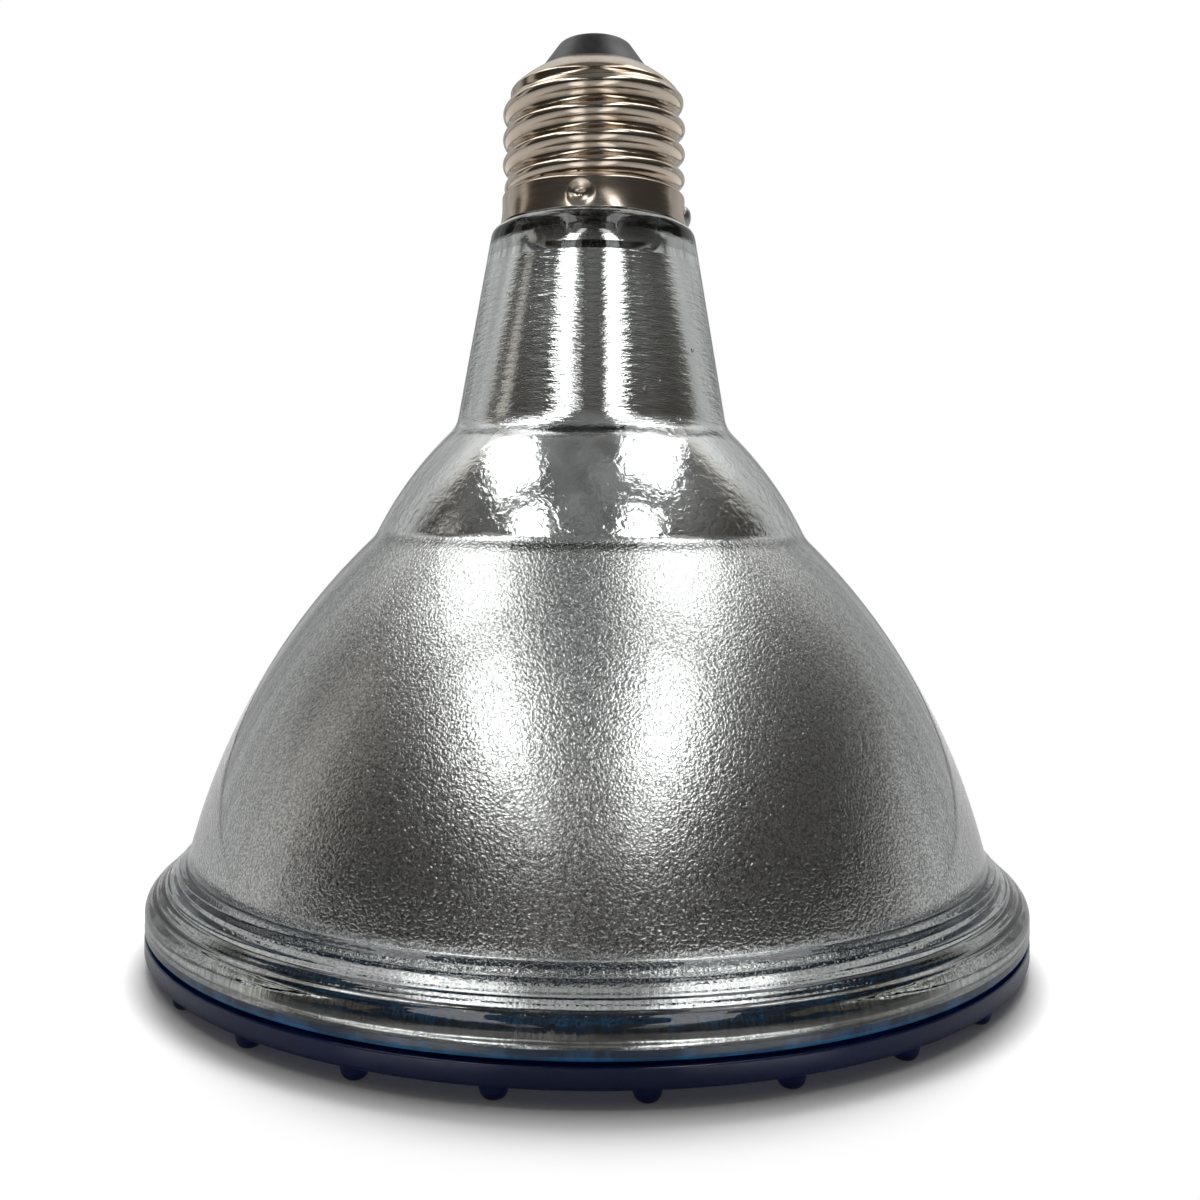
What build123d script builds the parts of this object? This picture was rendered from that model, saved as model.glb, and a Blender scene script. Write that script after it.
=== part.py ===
from build123d import *
import os
from math import cos, hypot, radians, sin

# Reflector spot lamp: pressed glass bowl, blue glass lens, rolled screw base and the filament mount inside.
# It stands lens down with its axis on Z, its nub tips at z = 0 and its front towards -Y. Sizes are in mm.

# Lens: a crowned disc whose rim carries a ring of nubs and a raised land for the seal
RIM_RADIUS = 60.5
NUB_COUNT = 24
NUB_INSET = 2.2
NUB_HEIGHT = 1.8
NUB_BASE_RADIUS = 1.6
NUB_TIP_RADIUS = 1.1
NUB_PHASE = 6.0
LENS_EDGE_HEIGHT = 2.4
LENS_EDGE_ROUND = 0.5
LENS_FACE_INSET = 5.0
LENS_CROWN = 1.2
LENS_THICKNESS = 4.0
SEAL_STEP = 0.7
SEAL_INSET = 1.7
SEAL_LAND = 3.8
SEAL_LEDGE = 0.7

# Reflector glass: flange, bowl, small dome, neck and the plug that the screw shell is crimped on
GLASS_WALL = 2.8
FLANGE_BAND = 3.1
FLANGE_SHOULDER = 4.8
FLANGE_WIDTH = 5.3
FLANGE_ROUND = 2.0
FLANGE_FOOT_ROUND = 1.5
FLANGE_EDGE_ROUND = 0.4
BOWL_HEIGHT = 43.3
BOWL_ARC_RADIUS = 89.0
DOME_FOOT_RADIUS = 30.65
DOME_HEIGHT = 15.5
DOME_ARC_RADIUS = 51.0
DOME_FOOT_ROUND = 1.0
NECK_FOOT_RADIUS = 19.43
NECK_FOOT_ROUND = 1.4
NECK_HEIGHT = 28.7
NECK_LEDGE = 1.35
NECK_TOP_ROUND = 2.0
JUNCTION_LEAN = 30.0
PLUG_GAP = 0.6
PLUG_LIP_HEIGHT = 7.6
PLUG_LIP_INSET = 1.2
PLUG_LEAN = 0.5

# Screw shell: smooth skirt, rolled thread, shoulder and the lip round the insulator
SHELL_WALL = 0.35
SHELL_SEAT = 0.2
SKIRT_HEIGHT = 4.4
SKIRT_STEP = 0.9
THREAD_CREST_RADIUS = 13.15
THREAD_DEPTH = 1.05
THREAD_PITCH = 3.629
THREAD_LENGTH = 14.0
THREAD_RUNOUT = 0.38
THREAD_START_ANGLE = 90.0
THREAD_FADE_TURNS = 0.4
THREAD_SINK = 2.2
THREAD_CREST_HALF = 0.33
THREAD_FLANK_HALF = 0.80
THREAD_FLANK_DROP = 0.42
THREAD_ROOT_FLAT = 0.63
THREAD_EMBED = 0.2
STATIONS_PER_TURN = 20
SHOULDER_HEIGHT = 3.3
SHOULDER_WIDTH = 4.15
CRIMP_COUNT = 3
CRIMP_ANGLE = -98.0
CRIMP_DEPTH = 0.9
CRIMP_MOUTH_RADIUS = 1.3
CRIMP_TIP_RADIUS = 0.6
CRIMP_CLEARANCE = 0.4
NOTCH_SIZE = 1.0

# Insulator, contact and the two solder joints
INSULATOR_HEIGHT = 4.1
INSULATOR_ROUND = 0.8
INSULATOR_SIDE_GAP = 1.35
INSULATOR_FLANGE_EDGE = 0.7
SEAT_CLEARANCE = 0.05
CONTACT_RADIUS = 4.0
CONTACT_THICKNESS = 0.5
CONTACT_RECESS = 0.4
CONTACT_BORDER = 1.0
CONTACT_SOLDER_RADIUS = 2.0
CONTACT_SOLDER_HEIGHT = 0.7
SIDE_SOLDER_RADIUS = 1.9
SIDE_SOLDER_PROUD = 1.0
SIDE_SOLDER_HEIGHT = 1.7

# Filament mount: stem glass, leads, anchors and the coiled filament at the bowl's focus
FLARE_RIM = 0.9
STEM_WALL = 1.2
STEM_LENGTH = 24.0
FLARE_LENGTH = 9.0
PRESS_LENGTH = 6.0
PRESS_FLARE = 0.3
PRESS_DEPTH = 3.6
PRESS_ROUND = 1.2
EXHAUST_RADIUS = 1.3
EXHAUST_BORE_RADIUS = 0.7
EXHAUST_RISE = 4.0
LEAD_RADIUS = 0.25
LEAD_GAP = 0.6
LEAD_CLEARANCE = 0.02
LEAD_BEND_RADIUS = 0.6
LEAD_TIGHT_BEND = 0.3
LEAD_SPLAY = 7.0
FILAMENT_DROP = 16.0
FILAMENT_RADIUS = 0.35
FILAMENT_BEND_RADIUS = 1.4
FILAMENT_REACH = 5.0
FILAMENT_SPAN = 7.0
ANCHOR_RADIUS = 0.2
ANCHOR_SPACING = 2.4
ANCHOR_FRONT = 0.3
ANCHOR_DEPTH = 1.5

# Levels up the axis, each from the one below it
EDGE_TOP = NUB_HEIGHT + LENS_EDGE_HEIGHT
SEAL_Z = EDGE_TOP + SEAL_STEP
BAND_TOP = SEAL_Z + FLANGE_BAND
BOWL_FOOT = BAND_TOP + FLANGE_SHOULDER
DOME_FOOT = BOWL_FOOT + BOWL_HEIGHT
NECK_FOOT = DOME_FOOT + DOME_HEIGHT
NECK_TOP = NECK_FOOT + NECK_HEIGHT
SHELL_BOTTOM = NECK_TOP + SHELL_SEAT
SKIRT_TOP = SHELL_BOTTOM + SKIRT_HEIGHT
THREAD_BOTTOM = SKIRT_TOP + SKIRT_STEP
THREAD_TOP = THREAD_BOTTOM + THREAD_LENGTH
SHELL_TOP = THREAD_TOP + SHOULDER_HEIGHT
INSULATOR_TOP = SHELL_TOP + INSULATOR_HEIGHT
CONTACT_Z = INSULATOR_TOP - CONTACT_RECESS
CONTACT_TOP = CONTACT_Z + CONTACT_THICKNESS
PLUG_TOP = NECK_TOP + PLUG_LIP_HEIGHT
PLUG_LAND_TOP = SKIRT_TOP - PLUG_LEAN
CRIMP_Z = (NECK_TOP + PLUG_LAND_TOP) / 2
FLARE_TOP = PLUG_TOP + FLARE_RIM
EXHAUST_TOP = FLARE_TOP + EXHAUST_RISE
PRESS_TOP = PLUG_TOP - STEM_LENGTH
PRESS_BOTTOM = PRESS_TOP - PRESS_LENGTH
FILAMENT_Z = PRESS_BOTTOM - FILAMENT_DROP

# Radii that several pieces share
SEAL_OUTER_RADIUS = RIM_RADIUS - SEAL_INSET
SEAL_INNER_RADIUS = SEAL_OUTER_RADIUS - SEAL_LAND
BOWL_FOOT_RADIUS = RIM_RADIUS - FLANGE_WIDTH
NECK_TOP_RADIUS = THREAD_CREST_RADIUS + NECK_LEDGE
THREAD_ROOT_RADIUS = THREAD_CREST_RADIUS - THREAD_DEPTH
SKIRT_BORE = THREAD_CREST_RADIUS - SHELL_WALL
THREAD_BORE = THREAD_ROOT_RADIUS - SHELL_WALL
LIP_RADIUS = THREAD_ROOT_RADIUS - SHOULDER_WIDTH
PLUG_RADIUS = SKIRT_BORE - PLUG_GAP
PLUG_LIP_RADIUS = PLUG_RADIUS - PLUG_LIP_INSET
PLUG_BORE = PLUG_LIP_RADIUS - GLASS_WALL / 2
LEAD_X = EXHAUST_RADIUS + LEAD_GAP + LEAD_RADIUS
LEAD_HOLE_RADIUS = LEAD_RADIUS + LEAD_CLEARANCE
STEM_BORE_RADIUS = LEAD_X + LEAD_RADIUS + LEAD_GAP
STEM_RADIUS = STEM_BORE_RADIUS + STEM_WALL

# Insulator under the sloping shoulder: the wall measured down the axis, the seat, the flange and its floor
SHOULDER_WALL = SHELL_WALL * hypot(SHOULDER_HEIGHT, SHOULDER_WIDTH) / SHOULDER_WIDTH
SHOULDER_SLOPE = (SHOULDER_HEIGHT - SHOULDER_WALL) / (THREAD_BORE - LIP_RADIUS)
INSULATOR_BASE_RADIUS = LIP_RADIUS - SEAT_CLEARANCE
INSULATOR_FLANGE_RADIUS = THREAD_BORE - INSULATOR_SIDE_GAP
INSULATOR_SEAT = SHELL_TOP - SHOULDER_WALL - SEAT_CLEARANCE
INSULATOR_FLANGE_Z = INSULATOR_SEAT - SHOULDER_SLOPE * (INSULATOR_FLANGE_RADIUS - INSULATOR_BASE_RADIUS)
INSULATOR_FLOOR = INSULATOR_FLANGE_Z - INSULATOR_FLANGE_EDGE


def turned(outline, corners=()):
    """Solid of revolution about the axis of a closed (radius, height) outline, with some corners rounded."""
    face = make_face(outline)
    for point, size in corners:
        face = fillet(face.vertices().sort_by_distance(point)[0], size)
    return revolve(Plane.XZ * face, axis=Axis.Z)


def around(count, shape, start):
    """Copies of a shape that lies towards +X, evenly spaced round the axis from a start angle."""
    return [Rot(0, 0, start + 360 * i / count) * shape for i in range(count)]


def wire_rod(points, radius, bend):
    """Round rod along straight runs joined by bends."""
    path = FilletPolyline(*points, radius=bend)
    return sweep(Plane(path @ 0, z_dir=path % 0) * Circle(radius), path=path)


def crowned(reach, rise):
    """Radius of the sphere on the axis that rises by a given height over a given reach."""
    return (reach * reach + rise * rise) / (2 * rise)


def front_lens():
    """Blue glass lens: crowned face, rounded edge, nubs under the rim and a land that meets the bowl."""
    face_radius = RIM_RADIUS - LENS_FACE_INSET
    apex = NUB_HEIGHT - LENS_CROWN
    dish = apex + LENS_THICKNESS
    outline = Curve() + [
        RadiusArc((0, apex), (face_radius, NUB_HEIGHT), -crowned(face_radius, LENS_CROWN)),
        Polyline(
            (face_radius, NUB_HEIGHT),
            (RIM_RADIUS, NUB_HEIGHT),
            (RIM_RADIUS, EDGE_TOP),
            (SEAL_OUTER_RADIUS, EDGE_TOP),
            (SEAL_OUTER_RADIUS, SEAL_Z),
            (SEAL_INNER_RADIUS, SEAL_Z),
            (0, dish),
            (0, apex),
        ),
    ]
    body = turned(outline, [((RIM_RADIUS, NUB_HEIGHT), LENS_EDGE_ROUND)])
    nub = Cone(NUB_TIP_RADIUS, NUB_BASE_RADIUS, NUB_HEIGHT)
    nub = Pos(RIM_RADIUS - NUB_INSET, 0, NUB_HEIGHT / 2) * nub
    return body + around(NUB_COUNT, nub, NUB_PHASE - 90)


def reflector_outline():
    """Closed outline of the pressed glass: outside from the seal up to the plug, then down the inside."""
    inset = Vector(-cos(radians(JUNCTION_LEAN)), -sin(radians(JUNCTION_LEAN))) * GLASS_WALL
    groove_low = CRIMP_Z - CRIMP_MOUTH_RADIUS
    groove_high = CRIMP_Z + CRIMP_MOUTH_RADIUS
    groove_radius = SKIRT_BORE - CRIMP_DEPTH - CRIMP_CLEARANCE
    bowl_foot = Vector(BOWL_FOOT_RADIUS, BOWL_FOOT)
    dome_foot = Vector(DOME_FOOT_RADIUS, DOME_FOOT)
    neck_foot = Vector(NECK_FOOT_RADIUS, NECK_FOOT)
    inner_dome = dome_foot + inset
    inner_neck = neck_foot + inset
    inner_foot = Vector(SEAL_INNER_RADIUS - SEAL_LEDGE, SEAL_Z)
    return Curve() + [
        Polyline(inner_foot, (RIM_RADIUS, SEAL_Z), (RIM_RADIUS, BAND_TOP), bowl_foot),
        RadiusArc(bowl_foot, dome_foot, -BOWL_ARC_RADIUS),
        RadiusArc(dome_foot, neck_foot, -DOME_ARC_RADIUS),
        Polyline(
            neck_foot,
            (NECK_TOP_RADIUS, NECK_TOP),
            (PLUG_RADIUS, NECK_TOP),
            (PLUG_RADIUS, groove_low),
            (groove_radius, groove_low),
            (groove_radius, groove_high),
            (PLUG_RADIUS, groove_high),
            (PLUG_RADIUS, PLUG_LAND_TOP),
            (PLUG_LIP_RADIUS, PLUG_LAND_TOP + SKIRT_STEP),
            (PLUG_LIP_RADIUS, PLUG_TOP),
            (PLUG_BORE, PLUG_TOP),
            (PLUG_BORE, SHELL_BOTTOM),
            inner_neck,
        ),
        RadiusArc(inner_neck, inner_dome, DOME_ARC_RADIUS - GLASS_WALL),
        RadiusArc(inner_dome, inner_foot, BOWL_ARC_RADIUS - GLASS_WALL),
    ]


def reflector_glass():
    """Pressed clear glass in one piece: flange, bowl, small dome, tapered neck and grooved plug."""
    corners = [
        ((RIM_RADIUS, SEAL_Z), FLANGE_EDGE_ROUND),
        ((RIM_RADIUS, BAND_TOP), FLANGE_ROUND),
        ((BOWL_FOOT_RADIUS, BOWL_FOOT), FLANGE_FOOT_ROUND),
        ((DOME_FOOT_RADIUS, DOME_FOOT), DOME_FOOT_ROUND),
        ((NECK_FOOT_RADIUS, NECK_FOOT), NECK_FOOT_ROUND),
        ((NECK_TOP_RADIUS, NECK_TOP), NECK_TOP_ROUND),
    ]
    return turned(reflector_outline(), corners)


def thread_ridge():
    """Rolled thread: a six-sided section carried up a right-hand helix, sinking in at both ends."""
    foot_half = (THREAD_PITCH - THREAD_ROOT_FLAT) / 2
    section = [
        (THREAD_ROOT_RADIUS - THREAD_EMBED, -foot_half),
        (THREAD_CREST_RADIUS - THREAD_FLANK_DROP, -THREAD_FLANK_HALF),
        (THREAD_CREST_RADIUS, -THREAD_CREST_HALF),
        (THREAD_CREST_RADIUS, THREAD_CREST_HALF),
        (THREAD_CREST_RADIUS - THREAD_FLANK_DROP, THREAD_FLANK_HALF),
        (THREAD_ROOT_RADIUS - THREAD_EMBED, foot_half),
    ]
    turns = (THREAD_TOP - THREAD_RUNOUT - SKIRT_TOP) / THREAD_PITCH
    stations = round(STATIONS_PER_TURN * turns)

    def rail(radius, lift):
        points = []
        for i in range(stations + 1):
            turn = turns * i / stations
            from_end = min(turn, turns - turn)
            sunk = max(0, 1 - from_end / THREAD_FADE_TURNS)
            angle = radians(THREAD_START_ANGLE + 360 * turn)
            reach = radius - THREAD_SINK * sunk * sunk
            height = SKIRT_TOP + THREAD_PITCH * turn + lift
            points.append((reach * cos(angle), reach * sin(angle), height))
        return Spline(*points)

    rails = [rail(radius, lift) for radius, lift in section]
    sides = [Face.make_surface_from_curves(a, b) for a, b in zip(rails, rails[1:] + rails[:1])]
    ends = [make_face(Polyline(*[r @ t for r in rails], close=True)).face() for t in (0, 1)]
    return Solid(Shell(sides + ends))


def skirt_and_shoulder(wall, lip_z):
    """The shell's plain parts, filled to the axis: skirt with its step, and shoulder up to a lip height."""
    crest = THREAD_CREST_RADIUS - wall
    root = THREAD_ROOT_RADIUS - wall
    skirt = Polyline(
        (0, SHELL_BOTTOM),
        (crest, SHELL_BOTTOM),
        (crest, SKIRT_TOP),
        (root, THREAD_BOTTOM),
        (0, THREAD_BOTTOM),
        close=True,
    )
    shoulder = Polyline((0, THREAD_TOP), (root, THREAD_TOP), (LIP_RADIUS, lip_z), (0, lip_z), close=True)
    return [turned(skirt), turned(shoulder)]


def thread_core(wall):
    """Plain cylinder under the thread, from the shell's bottom to its shoulder."""
    middle = (SHELL_BOTTOM + THREAD_TOP) / 2
    return Pos(0, 0, middle) * Cylinder(THREAD_ROOT_RADIUS - wall, THREAD_TOP - SHELL_BOTTOM)


def screw_shell():
    """Nickel-plated shell: rolled thread, crimped skirt, open lip and a notch for the side lead."""
    reach = CRIMP_DEPTH + SHELL_WALL
    cup_x = THREAD_CREST_RADIUS - reach / 2
    gain = (CRIMP_MOUTH_RADIUS - CRIMP_TIP_RADIUS) * reach / CRIMP_DEPTH
    cup_tip = CRIMP_TIP_RADIUS + SHELL_WALL
    cup = Rot(0, 90, 0) * Cone(cup_tip, cup_tip + gain, reach)
    punch = Rot(0, 90, 0) * Cone(CRIMP_TIP_RADIUS, CRIMP_TIP_RADIUS + gain, reach)
    cups = around(CRIMP_COUNT, Pos(cup_x, 0, CRIMP_Z) * cup, CRIMP_ANGLE)
    punches = around(CRIMP_COUNT, Pos(cup_x + SHELL_WALL, 0, CRIMP_Z) * punch, CRIMP_ANGLE)
    plain = skirt_and_shoulder(0, SHELL_TOP)
    outside = thread_core(0) + thread_ridge() + plain
    bore = thread_core(SHELL_WALL) + skirt_and_shoulder(SHELL_WALL, SHELL_TOP - SHOULDER_WALL)
    mouth = Pos(0, 0, SHELL_TOP) * Cylinder(LIP_RADIUS, SHOULDER_HEIGHT)
    notch = Pos(THREAD_CREST_RADIUS, 0, SHELL_BOTTOM) * Box(THREAD_CREST_RADIUS, NOTCH_SIZE, 2 * NOTCH_SIZE)
    return outside - bore - mouth + [cup & plain[0] for cup in cups] - punches - notch


def base_insulator():
    """Black insulator: cone above the lip, flange under the shoulder, contact seat and lead hole."""
    top_edge = (CONTACT_RADIUS + CONTACT_BORDER, INSULATOR_TOP)
    outline = Polyline(
        (LEAD_HOLE_RADIUS, INSULATOR_FLOOR),
        (INSULATOR_FLANGE_RADIUS, INSULATOR_FLOOR),
        (INSULATOR_FLANGE_RADIUS, INSULATOR_FLANGE_Z),
        (INSULATOR_BASE_RADIUS, INSULATOR_SEAT),
        (INSULATOR_BASE_RADIUS, SHELL_TOP),
        top_edge,
        (CONTACT_RADIUS, INSULATOR_TOP),
        (CONTACT_RADIUS, CONTACT_Z),
        (LEAD_HOLE_RADIUS, CONTACT_Z),
        close=True,
    )
    return turned(outline, [(top_edge, INSULATOR_ROUND)])


def centre_contact():
    """Brass contact disc seated in the insulator, with a hole for the centre lead."""
    outline = Polyline(
        (LEAD_HOLE_RADIUS, CONTACT_Z),
        (CONTACT_RADIUS - SEAT_CLEARANCE, CONTACT_Z),
        (CONTACT_RADIUS - SEAT_CLEARANCE, CONTACT_TOP),
        (LEAD_HOLE_RADIUS, CONTACT_TOP),
        close=True,
    )
    return turned(outline)


def contact_solder():
    """Solder dome that joins the centre lead to the contact."""
    top = (0, CONTACT_TOP + CONTACT_SOLDER_HEIGHT)
    edge = (CONTACT_SOLDER_RADIUS, CONTACT_TOP)
    dome = RadiusArc(edge, top, -crowned(CONTACT_SOLDER_RADIUS, CONTACT_SOLDER_HEIGHT))
    outline = Curve() + [Polyline(top, (0, CONTACT_TOP), edge), dome]
    return turned(outline)


def side_solder():
    """Solder blob on the skirt's lower rim, over the notch where the side lead comes out."""
    ball = crowned(SIDE_SOLDER_RADIUS, SIDE_SOLDER_PROUD)
    centre_z = SHELL_BOTTOM + SIDE_SOLDER_HEIGHT
    blob = Pos(THREAD_CREST_RADIUS + SIDE_SOLDER_PROUD - ball, 0, centre_z) * Sphere(ball)
    skirt = Pos(0, 0, centre_z) * Cylinder(THREAD_CREST_RADIUS, 4 * ball)
    below = Pos(0, 0, SHELL_BOTTOM - ball) * Cylinder(THREAD_CREST_RADIUS + ball, 2 * ball)
    return blob - skirt - below


def glass_stem():
    """Stem glass: flare on the plug's end, tube, flat press and exhaust tube, in one piece."""
    flare_foot = PLUG_TOP - FLARE_LENGTH
    throat = PLUG_BORE - STEM_WALL
    tube_floor = PRESS_TOP + FLARE_RIM
    outline = Polyline(
        (0, PRESS_TOP),
        (STEM_RADIUS, PRESS_TOP),
        (STEM_RADIUS, flare_foot),
        (PLUG_BORE - SEAT_CLEARANCE, PLUG_TOP),
        (PLUG_LIP_RADIUS, PLUG_TOP),
        (PLUG_LIP_RADIUS, FLARE_TOP),
        (throat, FLARE_TOP),
        (STEM_BORE_RADIUS, flare_foot + FLARE_RIM),
        (STEM_BORE_RADIUS, tube_floor),
        (EXHAUST_RADIUS, tube_floor),
        (EXHAUST_RADIUS, EXHAUST_TOP),
        (0, EXHAUST_TOP),
        close=True,
    )
    bore_top = EXHAUST_TOP - EXHAUST_RADIUS
    bore = Pos(0, 0, (tube_floor + bore_top) / 2) * Cylinder(EXHAUST_BORE_RADIUS, bore_top - tube_floor)
    press = Box(2 * (STEM_RADIUS + PRESS_FLARE), PRESS_DEPTH, PRESS_LENGTH)
    press = Pos(0, 0, (PRESS_TOP + PRESS_BOTTOM) / 2) * fillet(press.edges().filter_by(Axis.Z), PRESS_ROUND)
    hole = Cylinder(LEAD_HOLE_RADIUS, 2 * (PRESS_LENGTH + FLARE_RIM))
    holes = [Pos(x, 0, PRESS_TOP) * hole for x in (-LEAD_X, LEAD_X)]
    sockets = anchor_rods(ANCHOR_RADIUS + LEAD_CLEARANCE)
    return turned(outline) + press - bore - holes - sockets


def lead_start(side):
    """Lower end of a lead, hooked at the filament's end, and the place where it enters the press."""
    return [(side * LEAD_SPLAY, 0, FILAMENT_Z), (side * LEAD_X, 0, PRESS_BOTTOM)]


def lead_wire_centre():
    """Centre lead: filament, press, stem tube, then up the axis to the contact."""
    axis_z = (EXHAUST_TOP + INSULATOR_FLOOR) / 2
    points = lead_start(-1) + [(-LEAD_X, 0, EXHAUST_TOP), (0, 0, axis_z), (0, 0, CONTACT_TOP)]
    return wire_rod(points, LEAD_RADIUS, LEAD_BEND_RADIUS)


def lead_wire_side():
    """Side lead: filament, press, stem tube, over the flare, down inside the shell and out at the notch."""
    over = FLARE_TOP + 2 * LEAD_BEND_RADIUS
    down = (PLUG_LIP_RADIUS + THREAD_BORE) / 2
    skirt = (PLUG_RADIUS + SKIRT_BORE) / 2
    out_z = SHELL_BOTTOM + NOTCH_SIZE / 2
    drop = PLUG_LEAN / 2
    points = lead_start(1) + [
        (LEAD_X, 0, over),
        (down, 0, over),
        (down, 0, THREAD_BOTTOM - drop),
        (skirt, 0, SKIRT_TOP - drop),
        (skirt, 0, out_z),
        (THREAD_CREST_RADIUS - SEAT_CLEARANCE, 0, out_z),
    ]
    return wire_rod(points, LEAD_RADIUS, LEAD_TIGHT_BEND)


def filament():
    """Coiled filament as one rod of the coil's outside, bowed forward between the two leads."""
    z = FILAMENT_Z - LEAD_RADIUS - FILAMENT_RADIUS
    half = FILAMENT_SPAN / 2
    points = [
        (-LEAD_SPLAY, 0, z),
        (-half, -FILAMENT_REACH, z),
        (half, -FILAMENT_REACH, z),
        (LEAD_SPLAY, 0, z),
    ]
    return wire_rod(points, FILAMENT_RADIUS, FILAMENT_BEND_RADIUS)


def anchor_rods(radius):
    """Two straight rods, from inside the press to the filament's two bends."""
    rods = []
    for side in (-1, 1):
        top = Vector(side * ANCHOR_SPACING / 2, -ANCHOR_FRONT, PRESS_BOTTOM + ANCHOR_DEPTH)
        foot = Vector(side * FILAMENT_SPAN / 2, -FILAMENT_REACH, FILAMENT_Z)
        rods.append(sweep(Plane(top, z_dir=foot - top) * Circle(radius), path=Line(top, foot)))
    return rods


def anchor_wires():
    """Two anchor wires set in the press, which hold the filament's bends."""
    return Compound(children=anchor_rods(ANCHOR_RADIUS))


PIECES = [
    front_lens,
    reflector_glass,
    screw_shell,
    base_insulator,
    centre_contact,
    contact_solder,
    side_solder,
    glass_stem,
    lead_wire_centre,
    lead_wire_side,
    filament,
    anchor_wires,
]

os.makedirs("parts", exist_ok=True)
for piece in PIECES:
    export_step(piece(), f"parts/{piece.__name__}.step")
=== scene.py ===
from functools import partial, partialmethod
from math import pi, radians

import bpy
import numpy as np
from bpy.props import FloatProperty, FloatVectorProperty, IntProperty, PointerProperty
from bpy.types import NodeSocket, Operator, Panel, PropertyGroup
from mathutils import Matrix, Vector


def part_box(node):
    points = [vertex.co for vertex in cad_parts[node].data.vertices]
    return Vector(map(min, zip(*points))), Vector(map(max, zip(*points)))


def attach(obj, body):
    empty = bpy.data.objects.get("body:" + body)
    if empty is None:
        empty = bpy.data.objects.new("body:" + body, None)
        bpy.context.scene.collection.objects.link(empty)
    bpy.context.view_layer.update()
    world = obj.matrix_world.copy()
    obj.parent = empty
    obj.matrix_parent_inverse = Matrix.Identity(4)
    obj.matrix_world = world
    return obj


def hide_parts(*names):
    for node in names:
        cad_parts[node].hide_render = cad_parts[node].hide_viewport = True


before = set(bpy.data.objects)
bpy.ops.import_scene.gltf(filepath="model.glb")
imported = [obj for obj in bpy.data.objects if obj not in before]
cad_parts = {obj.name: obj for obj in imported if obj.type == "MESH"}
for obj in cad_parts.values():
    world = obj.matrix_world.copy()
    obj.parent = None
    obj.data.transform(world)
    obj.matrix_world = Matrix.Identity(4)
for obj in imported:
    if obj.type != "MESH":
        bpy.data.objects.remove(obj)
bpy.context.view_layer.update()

bl_info = {
    "name": "Reflector spotlight bulb",
    "version": (1, 0, 0),
    "blender": (4, 5, 0),
    "location": "View3D > Sidebar > Bulb",
    "description": "Dresses a reflector spotlight bulb: mirrored glass, blue lens, screw base and studio",
    "category": "Object",
}

# The frame's own sizes, in metres
MM = 0.001
RIM_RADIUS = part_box("front_lens")[1][0]
SEAL_Z, PLUG_TOP = (corner[2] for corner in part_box("reflector_glass"))
SHELL_BOTTOM, SHELL_TOP = (corner[2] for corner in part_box("screw_shell"))
CREST_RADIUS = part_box("screw_shell")[1][0]
INSULATOR_LOW, INSULATOR_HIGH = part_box("base_insulator")
CONTACT_LOW, CONTACT_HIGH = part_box("centre_contact")
DOT_LOW, DOT_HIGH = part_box("contact_solder")
BLOB_LOW, BLOB_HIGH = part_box("side_solder")
FILAMENT_LOW, FILAMENT_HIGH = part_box("filament")

# Faces round the small pieces, and rows of points up them
SHELL_FACES, SHELL_ROWS, SHELL_INSIDE_ROWS = 288, 190, 90
INSULATOR_FACES, CONTACT_FACES, WIRE_FACES = 128, 96, 8
DOT_FACES, DOT_ROWS = 64, 14
BLOB_FACES, BLOB_ROWS = 48, 25
NUB_FACES, NUB_ROWS = 28, 14

# Places in the tent and on the floor, as bearings from the front towards the right, with half their widths
STRIP_BEARING, STRIP_HALF, STRIP_TOP = radians(-97), radians(9), 0.6
CARD_BEARING, CARD_HALF, CARD_TOP = radians(-9), radians(11), 0.36
POOL_BEARINGS, POOL_HALF = (radians(-20), radians(21)), radians(12)

# Each lamp's place across and back, its width and depth, the setting of its level, and whether it
# lights the floor and shows in the mirror
LAMPS = {
    "front_lamp_left": (-0.36, -0.52, 0.20, 0.48, "front_level", False, True),
    "front_lamp_right": (0.30, -0.54, 0.20, 0.48, "front_level", False, True),
    "low_lamp_left": (-0.29, -1.05, 0.19, 0.50, "low_level", False, True),
    "low_lamp_right": (0.31, -1.05, 0.20, 0.50, "low_level", False, True),
    "side_lamp_left": (-0.36, 0.07, 0.24, 0.44, "side_level", True, True),
    "side_lamp_right": (0.27, 0.07, 0.26, 0.44, "side_level", True, True),
    "top_lamp": (0.0, 0.70, 0.9, 0.6, "top_level", True, False),
}
TOP_LAMP_RISE = 0.2
FLOOR_REACH, FLOOR_SINK = 4.0, 0.02 * MM
SENSOR_WIDTH, NEAREST_SEEN = 36.0, 0.005
WHITE = (1.0, 1.0, 1.0)
IOR = 1.5


def length(description, millimetres):
    """A length whose default is given in millimetres."""
    return partial(FloatProperty, description=description, default=millimetres * MM, unit="LENGTH",
                   precision=5)


def angle(description, degrees):
    """An angle whose default is given in degrees."""
    return partial(FloatProperty, description=description, default=radians(degrees), subtype="ANGLE")


def count(description, number, least=1):
    """A whole number."""
    return partial(IntProperty, description=description, default=number, min=least)


def share(description, number):
    """A plain number."""
    return partial(FloatProperty, description=description, default=number, precision=4)


def colour(description, *linear):
    """A colour of three linear values."""
    return partial(FloatVectorProperty, description=description, default=linear, subtype="COLOR",
                   min=0.0, max=1.0)


def named(group):
    """Makes a settings group's properties, each with its key as its name, in plain words."""
    for key, made in group.__annotations__.items():
        group.__annotations__[key] = made(name=key.replace("_", " ").capitalize())
    return group


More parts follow.
